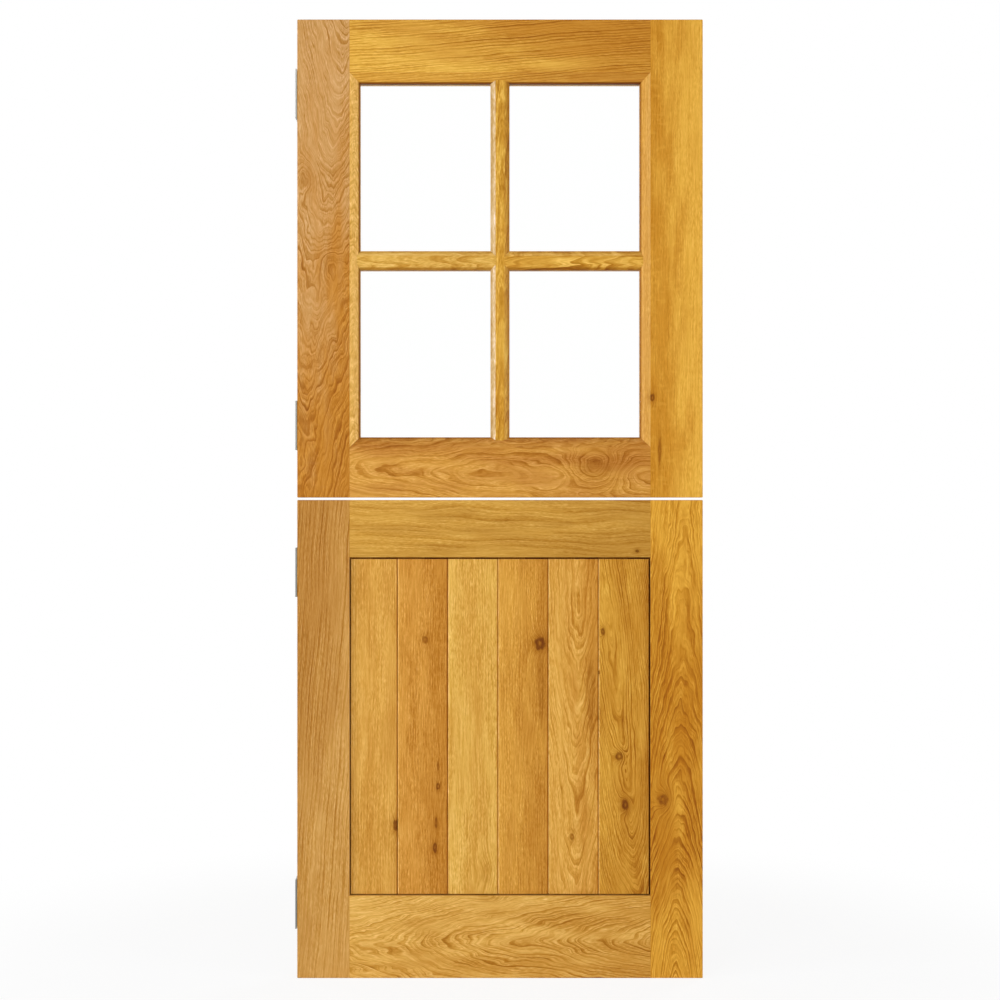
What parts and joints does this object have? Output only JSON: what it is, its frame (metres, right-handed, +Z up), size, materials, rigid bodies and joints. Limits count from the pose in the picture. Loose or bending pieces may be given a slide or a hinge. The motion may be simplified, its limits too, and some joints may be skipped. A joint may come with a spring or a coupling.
{
  "type": "dutch stable door",
  "caption": "Oak stable door in halves: glazed upper leaf with a moulded sash cross, boarded lower leaf, each swinging by itself on butt hinges let into its left edge.",
  "frame": {"origin": "middle of the lower leaf's bottom edge, halfway through the thickness of the leaves", "axes": "+X to the right seen from the front, +Y from the front face to the back face where the hinge knuckles are, +Z up"},
  "size_m": [0.8447, 0.0556, 1.981],
  "materials": {
    "oak_frame": "honey oak, satin lacquer",
    "oak_boards": "honey oak boards, satin lacquer",
    "oak_beads": "honey oak beads, satin lacquer",
    "clear_glass": "clear float glass",
    "hinge_steel": "satin stainless steel",
    "screw_steel": "plain stainless steel"
  },
  "bodies": {
    "post_flaps": {"hinge_pin_lower_bottom": "hinge_steel", "hinge_pin_lower_top": "hinge_steel", "hinge_pin_upper_bottom": "hinge_steel", "hinge_pin_upper_top": "hinge_steel", "hinge_post_flap_lower_bottom": "hinge_steel", "hinge_post_flap_lower_top": "hinge_steel", "hinge_post_flap_upper_bottom": "hinge_steel", "hinge_post_flap_upper_top": "hinge_steel"},
    "upper_leaf": {"cross_glazing_bar_left": "oak_frame", "cross_glazing_bar_right": "oak_frame", "glass_pane_lower_left": "clear_glass", "glass_pane_lower_right": "clear_glass", "glass_pane_upper_left": "clear_glass", "glass_pane_upper_right": "clear_glass", "glazing_bead_lower_left_head": "oak_beads", "glazing_bead_lower_left_left": "oak_beads", "glazing_bead_lower_left_right": "oak_beads", "glazing_bead_lower_left_sill": "oak_beads", "glazing_bead_lower_right_head": "oak_beads", "glazing_bead_lower_right_left": "oak_beads", "glazing_bead_lower_right_right": "oak_beads", "glazing_bead_lower_right_sill": "oak_beads", "glazing_bead_upper_left_head": "oak_beads", "glazing_bead_upper_left_left": "oak_beads", "glazing_bead_upper_left_right": "oak_beads", "glazing_bead_upper_left_sill": "oak_beads", "glazing_bead_upper_right_head": "oak_beads", "glazing_bead_upper_right_left": "oak_beads", "glazing_bead_upper_right_right": "oak_beads", "glazing_bead_upper_right_sill": "oak_beads", "hinge_leaf_flap_upper_bottom": "hinge_steel", "hinge_leaf_flap_upper_top": "hinge_steel", "hinge_screws_upper_leaf": "screw_steel", "upper_closing_stile": "oak_frame", "upper_hinge_stile": "oak_frame", "upper_meeting_rail": "oak_frame", "upper_top_rail": "oak_frame", "upright_glazing_bar": "oak_frame"},
    "lower_leaf": {"hinge_leaf_flap_lower_bottom": "hinge_steel", "hinge_leaf_flap_lower_top": "hinge_steel", "hinge_screws_lower_leaf": "screw_steel", "lower_bottom_rail": "oak_frame", "lower_closing_stile": "oak_frame", "lower_hinge_stile": "oak_frame", "lower_meeting_rail": "oak_frame", "panel_board_1": "oak_boards", "panel_board_2": "oak_boards", "panel_board_3": "oak_boards", "panel_board_4": "oak_boards", "panel_board_5": "oak_boards", "panel_board_6": "oak_boards"}
  },
  "joints": [
    {"name": "upper_leaf_swing", "type": "hinge", "parent": "post_flaps", "child": "upper_leaf", "pos_m": [-0.42025, 0.0281, 1.487], "axis": [0, 0, 1], "range_deg": [0, 170]},
    {"name": "lower_leaf_swing", "type": "hinge", "parent": "post_flaps", "child": "lower_leaf", "pos_m": [-0.42025, 0.0281, 0.494], "axis": [0, 0, 1], "range_deg": [0, 170]}
  ]
}
